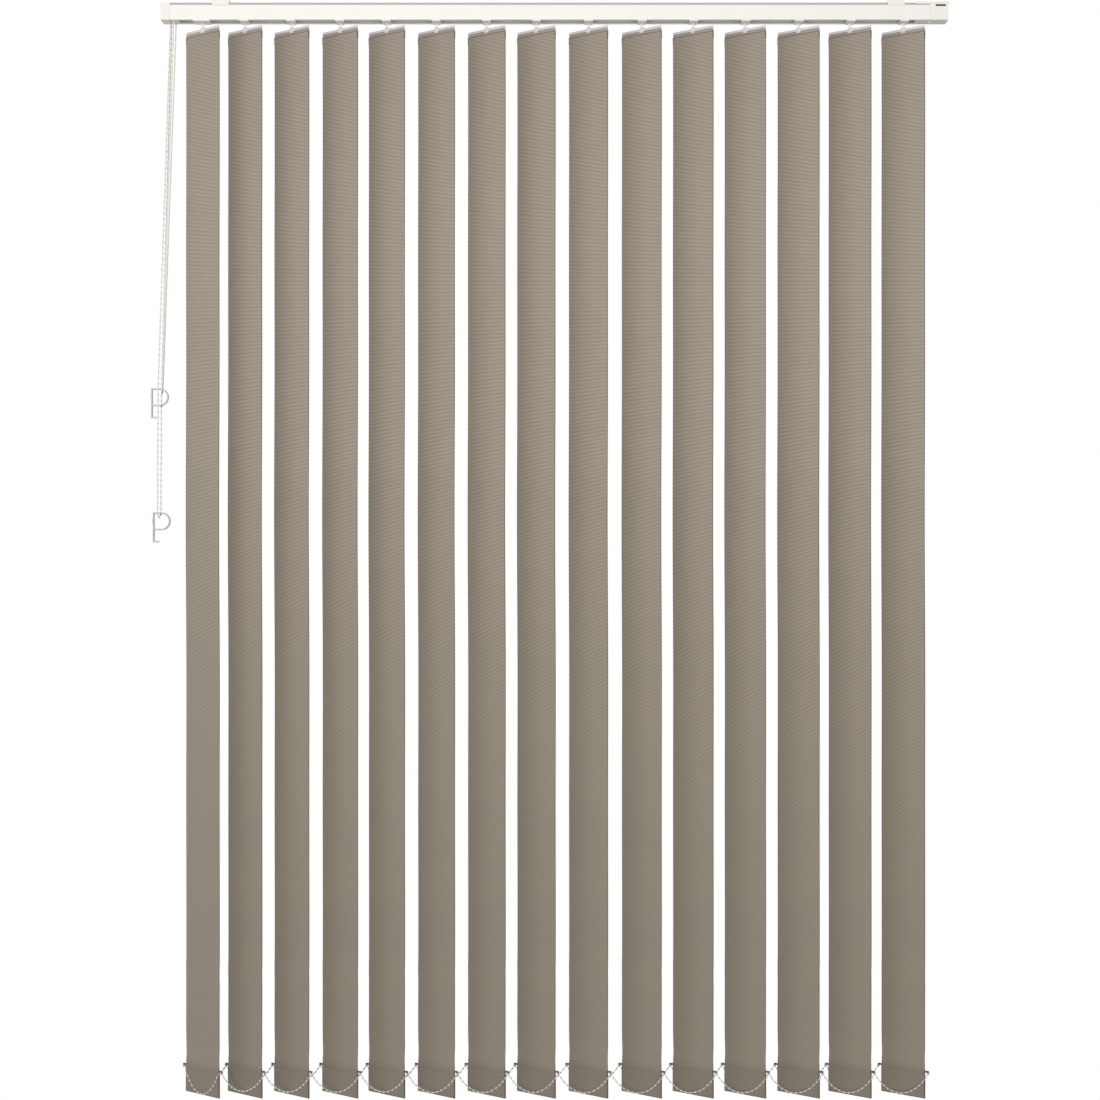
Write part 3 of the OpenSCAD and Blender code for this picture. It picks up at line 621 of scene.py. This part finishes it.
def slat_cloth():
    """The cloth of one slat about its own axis, with a UV map of metres across and down the cut."""
    work = bmesh.new()
    cut = work.loops.layers.uv.new("cut")
    rows = cloth_rows()
    pocket_rows = sum(1 for z, half in rows if z > pocket_bottom + pocket_weld[1])

    def layer(offsets):
        made = []
        for (z, half), off in zip(rows, offsets):
            across = [half_width(z) * (2 * c / (cloth_columns - 1) - 1) for c in range(cloth_columns)]
            made.append([work.verts.new((u, billow(u, z) + off, z)) for u in across])
        return made

    front = layer([-half for z, half in rows])
    back = layer([half for z, half in rows])
    inner_front = layer([-pocket_gap] * pocket_rows)
    inner_back = layer([pocket_gap] * pocket_rows)
    for sheet in (front, back, inner_front, inner_back):
        for upper, lower in zip(sheet, sheet[1:]):
            for c in range(cloth_columns - 1):
                work.faces.new((upper[c], upper[c + 1], lower[c + 1], lower[c]))
    low = pocket_rows - 1
    rims = [(front[0], inner_front[0]), (back[0], inner_back[0]), (inner_front[low], inner_back[low]),
            (front[-1], back[-1])]
    for a, b in rims:
        for c in range(cloth_columns - 1):
            work.faces.new((a[c], a[c + 1], b[c + 1], b[c]))
    for c in (0, cloth_columns - 1):
        for k in range(low):
            work.faces.new((front[k][c], inner_front[k][c], inner_front[k + 1][c], front[k + 1][c]))
            work.faces.new((back[k][c], inner_back[k][c], inner_back[k + 1][c], back[k + 1][c]))
        work.faces.new((front[low][c], inner_front[low][c], inner_back[low][c], back[low][c],
                        back[low + 1][c], front[low + 1][c]))
        for k in range(low + 1, len(rows) - 1):
            work.faces.new((front[k][c], back[k][c], back[k + 1][c], front[k + 1][c]))
    bmesh.ops.recalc_face_normals(work, faces=work.faces)
    for face in work.faces:
        for loop in face.loops:
            loop[cut].uv = (loop.vert.co.x, fabric_top - loop.vert.co.z)
    mesh = bpy.data.meshes.new("slat_cloth")
    work.to_mesh(mesh)
    work.free()
    smooth(mesh, cloth_sharp_deg)
    return mesh


# The rep weave is far finer than a pixel: its ribs are drawn 6.3 mm apart so that they show,
# leaning more and more down the drop as the cloth's bias does, and darker in their grooves as painted
# shade. The sealed edges are darker. Painted shade darkens the fold at the top, the hem and the fold
# at the bottom.
polyester, tree, shader = new_material("woven_polyester_taupe", "#9c9286", 0.9,
                                       {"Sheen Weight": 0.15, "Sheen Roughness": 0.5})
cut = add(tree, "ShaderNodeUVMap", uv_map="cut")
split = add(tree, "ShaderNodeSeparateXYZ", links={"Vector": cut.outputs["UV"]})
across, down = split.outputs["X"], split.outputs["Y"]
rib_mm = 6.3
lean_top, lean_per_m, lean_per_m2 = 0.34, -0.60, -0.09
lean = add(tree, "ShaderNodeMath", {1: lean_per_m2, 2: lean_per_m}, {0: down}, operation="MULTIPLY_ADD")
lean = add(tree, "ShaderNodeMath", {2: lean_top}, {0: lean.outputs[0], 1: down}, operation="MULTIPLY_ADD")
drift = add(tree, "ShaderNodeMath", links={0: lean.outputs[0], 1: across}, operation="MULTIPLY")
level = add(tree, "ShaderNodeMath", links={0: down, 1: drift.outputs[0]}, operation="SUBTRACT")
slub_mm = 16
slub = add(tree, "ShaderNodeTexNoise", {"Scale": 1000 / slub_mm, "Detail": 2},
           {"Vector": cut.outputs["UV"]})
rib_wander = 0.0012
wander = add(tree, "ShaderNodeMapRange", {"To Min": -rib_wander, "To Max": rib_wander},
             {"Value": slub.outputs["Fac"]})
level = add(tree, "ShaderNodeMath", links={0: level.outputs[0], 1: wander.outputs[0]}, operation="ADD")
phase = add(tree, "ShaderNodeMath", {1: 2000 * math.pi / rib_mm}, {0: level.outputs[0]},
            operation="MULTIPLY")
wave = add(tree, "ShaderNodeMath", links={0: phase.outputs[0]}, operation="SINE")
rib_depth_top, rib_depth_low, low_at = 0.31, 0.34, 1.75
depth = add(tree, "ShaderNodeMapRange",
            {"From Max": low_at, "To Min": rib_depth_top, "To Max": rib_depth_low}, {"Value": down})
rib = add(tree, "ShaderNodeMath", {2: 0.5}, {0: wave.outputs[0], 1: depth.outputs[0]},
          operation="MULTIPLY_ADD")
# Painted shade: the ribs' colour darkens in their grooves, following the same height as the bump.
tone = add(tree, "ShaderNodeValToRGB", links={"Fac": rib.outputs[0]})
tone.color_ramp.elements[0].color = linear("#a09687")
tone.color_ramp.elements[1].color = linear("#b9aea0")
dye_mm = 90
dye = add(tree, "ShaderNodeTexNoise", {"Scale": 1000 / dye_mm, "Detail": 4},
          {"Vector": cut.outputs["UV"]})
shade = add(tree, "ShaderNodeMapRange", {"To Min": 0.95, "To Max": 1.05}, {"Value": dye.outputs["Fac"]})
# Painted shade: a dark line along the top fold and the bottom fold, and the hem darkened as if less light
# came through the doubled cloth.
painted_hem_shade, painted_fold_shade = 0.83, 0.62
cut_end = fabric_top - slat_bottom
hem_start = fabric_top - hem_top
painted_shade_steps = ((0.0012, 0.0024, painted_fold_shade, 1), (hem_start - 0.012, hem_start + 0.003, 1, painted_hem_shade),
               (cut_end - 0.002, cut_end - 0.001, 1, painted_fold_shade))
for start, stop, before, after in painted_shade_steps:
    step = add(tree, "ShaderNodeMapRange",
               {"From Min": start, "From Max": stop, "To Min": before, "To Max": after}, {"Value": down})
    shade = add(tree, "ShaderNodeMath", links={0: shade.outputs[0], 1: step.outputs[0]},
                operation="MULTIPLY")
dyed_with_painted_shade = add(tree, "ShaderNodeVectorMath", links={0: tone.outputs["Color"], 1: shade.outputs[0]},
           operation="MULTIPLY")
sealed_mm, sealed_full_mm = 1.4, 0.3
from_middle = add(tree, "ShaderNodeMath", links={0: across}, operation="ABSOLUTE")
sealed = add(tree, "ShaderNodeMapRange",
             {"From Min": slat_w / 2 - sealed_mm / 1000, "From Max": slat_w / 2 - sealed_full_mm / 1000},
             {"Value": from_middle.outputs[0]})
first_colour, second_colour, mixed_colour = 6, 7, 2
cloth_colour = add(tree, "ShaderNodeMix", {second_colour: linear("#6e675c")},
                   {"Factor": sealed.outputs[0], first_colour: dyed_with_painted_shade.outputs["Vector"]}, data_type="RGBA")
warp_mm = 1.3
warp = add(tree, "ShaderNodeMath", {1: 2000 * math.pi / warp_mm}, {0: across}, operation="MULTIPLY")
warp = add(tree, "ShaderNodeMath", links={0: warp.outputs[0]}, operation="SINE")
warp_share = 0.25
thread = add(tree, "ShaderNodeMath", {1: warp_share}, {0: warp.outputs[0], 2: rib.outputs[0]},
             operation="MULTIPLY_ADD")
bump = add(tree, "ShaderNodeBump", {"Strength": 0.5, "Distance": 0.0004}, {"Height": thread.outputs[0]})
tree.links.new(cloth_colour.outputs[mixed_colour], shader.inputs["Base Color"])
tree.links.new(bump.outputs["Normal"], shader.inputs["Normal"])

cloth = slat_cloth()
slats = []
for number, axis in zip(numbers, slat_axes):
    mesh = cloth.copy()
    mesh.transform(axis)
    slat = bpy.data.objects.new("woven_slat_" + number, mesh)
    scene.collection.objects.link(slat)
    dress(slat, "slat_" + number, "slat_fabric", polyester)
    slats.append(slat)

# Bottom weights
# A flat bar of grey-brown plastic lies in each hem. Its two ears stick out at the sides, each with a
# headed peg for the chain and a white clip ring on it.
ear_z = -1.761
arm_h, arm_half, arm_root, arm_edge = 0.003, 0.001, 0.002, 0.0004
peg_reach, ring_drop = 0.0065, 0.001
peg_u = slat_w / 2 + peg_reach
peg_r, peg_head_r, arm_end_r = 0.001, 0.0012, 0.0016
peg_drop, peg_head_t, peg_neck, peg_sides = 0.002, 0.0014, 0.0002, 16
ring_r, ring_tube_r, ring_turns, ring_sides, ring_sharp_deg = 0.002, 0.0007, 24, 8, 60
ring_z = ear_z - ring_drop
weight_plastic, tree, shader = new_material("moulded_polypropylene_umber", "#6d665c", 0.5)
mottled(tree, shader, 0.8, 2, "#5f584f", "#7a7368")


def lathe(work, place, profile, sides):
    """Turns a profile of radius and height round an upright axis; a zero radius closes it to a point."""
    rings = []
    for r, z in profile:
        spots = [0] if r == 0 else [2 * math.pi * j / sides for j in range(sides)]
        rings.append([work.verts.new(place + Vector((r * math.cos(a), r * math.sin(a), z))) for a in spots])
    for low, high in zip(rings, rings[1:]):
        for j in range(sides):
            after = j + 1
            loop = [low[j % len(low)], low[after % len(low)], high[after % len(high)], high[j % len(high)]]
            work.faces.new(list(dict.fromkeys(loop)))


def weight_ears():
    """Both ears of a weight about the slat's own axis."""
    work = bmesh.new()
    for side in (-1, 1):
        arm = bmesh.ops.create_cube(work, size=1)["verts"]
        inner, outer = slat_w / 2 - arm_root, peg_u
        size = Vector((outer - inner, 2 * arm_half, arm_h))
        middle = Vector((side * (inner + outer) / 2, 0, ear_z + arm_h / 2))
        bmesh.ops.scale(work, vec=size, verts=arm)
        bmesh.ops.translate(work, vec=middle, verts=arm)
        edges = list({edge for vert in arm for edge in vert.link_edges})
        bmesh.ops.bevel(work, geom=edges, offset=arm_edge, segments=2, affect="EDGES", profile=0.5)
        head = ear_z - peg_drop
        lathe(work, Vector((side * peg_u, 0, 0)),
              [(0, head - peg_head_t), (peg_head_r * 0.7, head - peg_head_t),
               (peg_head_r, head - peg_head_t * 0.6), (peg_head_r, head - peg_neck), (peg_r, head),
               (peg_r, ear_z), (arm_end_r, ear_z), (arm_end_r, ear_z + arm_h * 0.8),
               (arm_end_r * 0.7, ear_z + arm_h), (0, ear_z + arm_h)], peg_sides)
    bmesh.ops.recalc_face_normals(work, faces=work.faces)
    mesh = bpy.data.meshes.new("weight_ears")
    work.to_mesh(mesh)
    work.free()
    smooth(mesh, sharp_deg)
    return mesh


def clip_rings():
    """The two clip rings of a weight, about the slat's own axis."""
    work = bmesh.new()
    up = Vector((0, 0, 1))
    tilts = [2 * math.pi * j / ring_sides for j in range(ring_sides)]
    for side in (-1, 1):
        grid = []
        for k in range(ring_turns):
            a = 2 * math.pi * k / ring_turns
            out = Vector((math.cos(a), math.sin(a), 0))
            middle = Vector((side * peg_u, 0, ring_z)) + out * ring_r
            grid.append([work.verts.new(middle + (out * math.cos(b) + up * math.sin(b)) * ring_tube_r)
                         for b in tilts])
        for k in range(ring_turns):
            for j in range(ring_sides):
                a, b, after = grid[k], grid[(k + 1) % ring_turns], (j + 1) % ring_sides
                work.faces.new((a[j], b[j], b[after], a[after]))
    bmesh.ops.recalc_face_normals(work, faces=work.faces)
    mesh = bpy.data.meshes.new("clip_rings")
    work.to_mesh(mesh)
    work.free()
    smooth(mesh, ring_sharp_deg)
    return mesh


ears, rings = weight_ears(), clip_rings()
for number, axis, slat in zip(numbers, slat_axes, slats):
    for word, shape, finish in (("weight_ears_", ears, weight_plastic), ("clip_rings_", rings, acetal)):
        mesh = shape.copy()
        mesh.transform(axis)
        mesh.materials.append(finish)
        piece = bpy.data.objects.new(word + number, mesh)
        scene.collection.objects.link(piece)
        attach(piece, "slat_" + number)

# Bottom chains
# Two strings of small acetal beads, front and back, join the weights and sag between them. They hang
# on the outer side of the rings, clear of the hems.
link_bead_d = 0.0032
link_thread_r = 0.0006
link_slack = 0.025
end_loop_length = 0.131
beads_per_span = 13
hem_clearance = 1.3 * ring_r
loop_clearance, loop_reach, loop_lift = 0.0003, 0.002, 0.001
halvings = 60


def hanging(span, length, count):
    """Points along and below the ends of a chain that hangs over a span, at even lengths, ends included."""
    low, high = span / 16, span * 4
    for _ in range(halvings):
        scale = (low + high) / 2
        longer = 2 * scale * math.sinh(span / (2 * scale)) > length
        low, high = (scale, high) if longer else (low, scale)
    top = math.sqrt(scale * scale + length * length / 4)
    lengths = [length * (k / (count + 1) - 0.5) for k in range(count + 2)]
    return [(scale * math.asinh(s / scale), math.sqrt(scale * scale + s * s) - top) for s in lengths]


slat_places = [axis.translation.x for axis in slat_axes]
for word, side in (("front", 1), ("back", -1)):
    peg = Vector((math.cos(slat_angle), -math.sin(slat_angle), 0)) * side * peg_u + Vector((0, 0, ring_z))
    on_ring = peg - Vector((0, side * ring_r, 0))
    off_hem = peg - Vector((0, side * hem_clearance, 0))
    spans = []
    whole = []
    for a, b in zip(slat_places, slat_places[1:]):
        points = [Vector(((a + b) / 2 + along, 0, below)) + off_hem
                  for along, below in hanging(b - a, b - a + link_slack, beads_per_span)]
        points[0] = Vector((a, 0, 0)) + on_ring
        points[-1] = Vector((b, 0, 0)) + on_ring
        whole += points
        spans.append(points)
    chain = bead_string(word + "_bead_chain", spans, link_bead_d / 2, link_thread_r, 1)
    dress(chain, word + "_chain", "chain_plastic")
    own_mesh(chain)

hem_gap = hem_half + link_bead_d / 2 + loop_clearance
loop_end_u = slat_w / 2 + loop_reach
loop_points = [Vector((along, -hem_gap, ear_z + below))
               for along, below in hanging(2 * loop_end_u, end_loop_length, beads_per_span)]
loop_points[0] = Vector((-loop_end_u, 0, ear_z + loop_lift))
loop_points[-1] = Vector((loop_end_u, 0, ear_z + loop_lift))
loop_points = [slat_axes[0] @ point for point in loop_points]
end_loop = bead_string("end_bead_chain", [loop_points], link_bead_d / 2, link_thread_r, 1)
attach(end_loop, "slat_01")
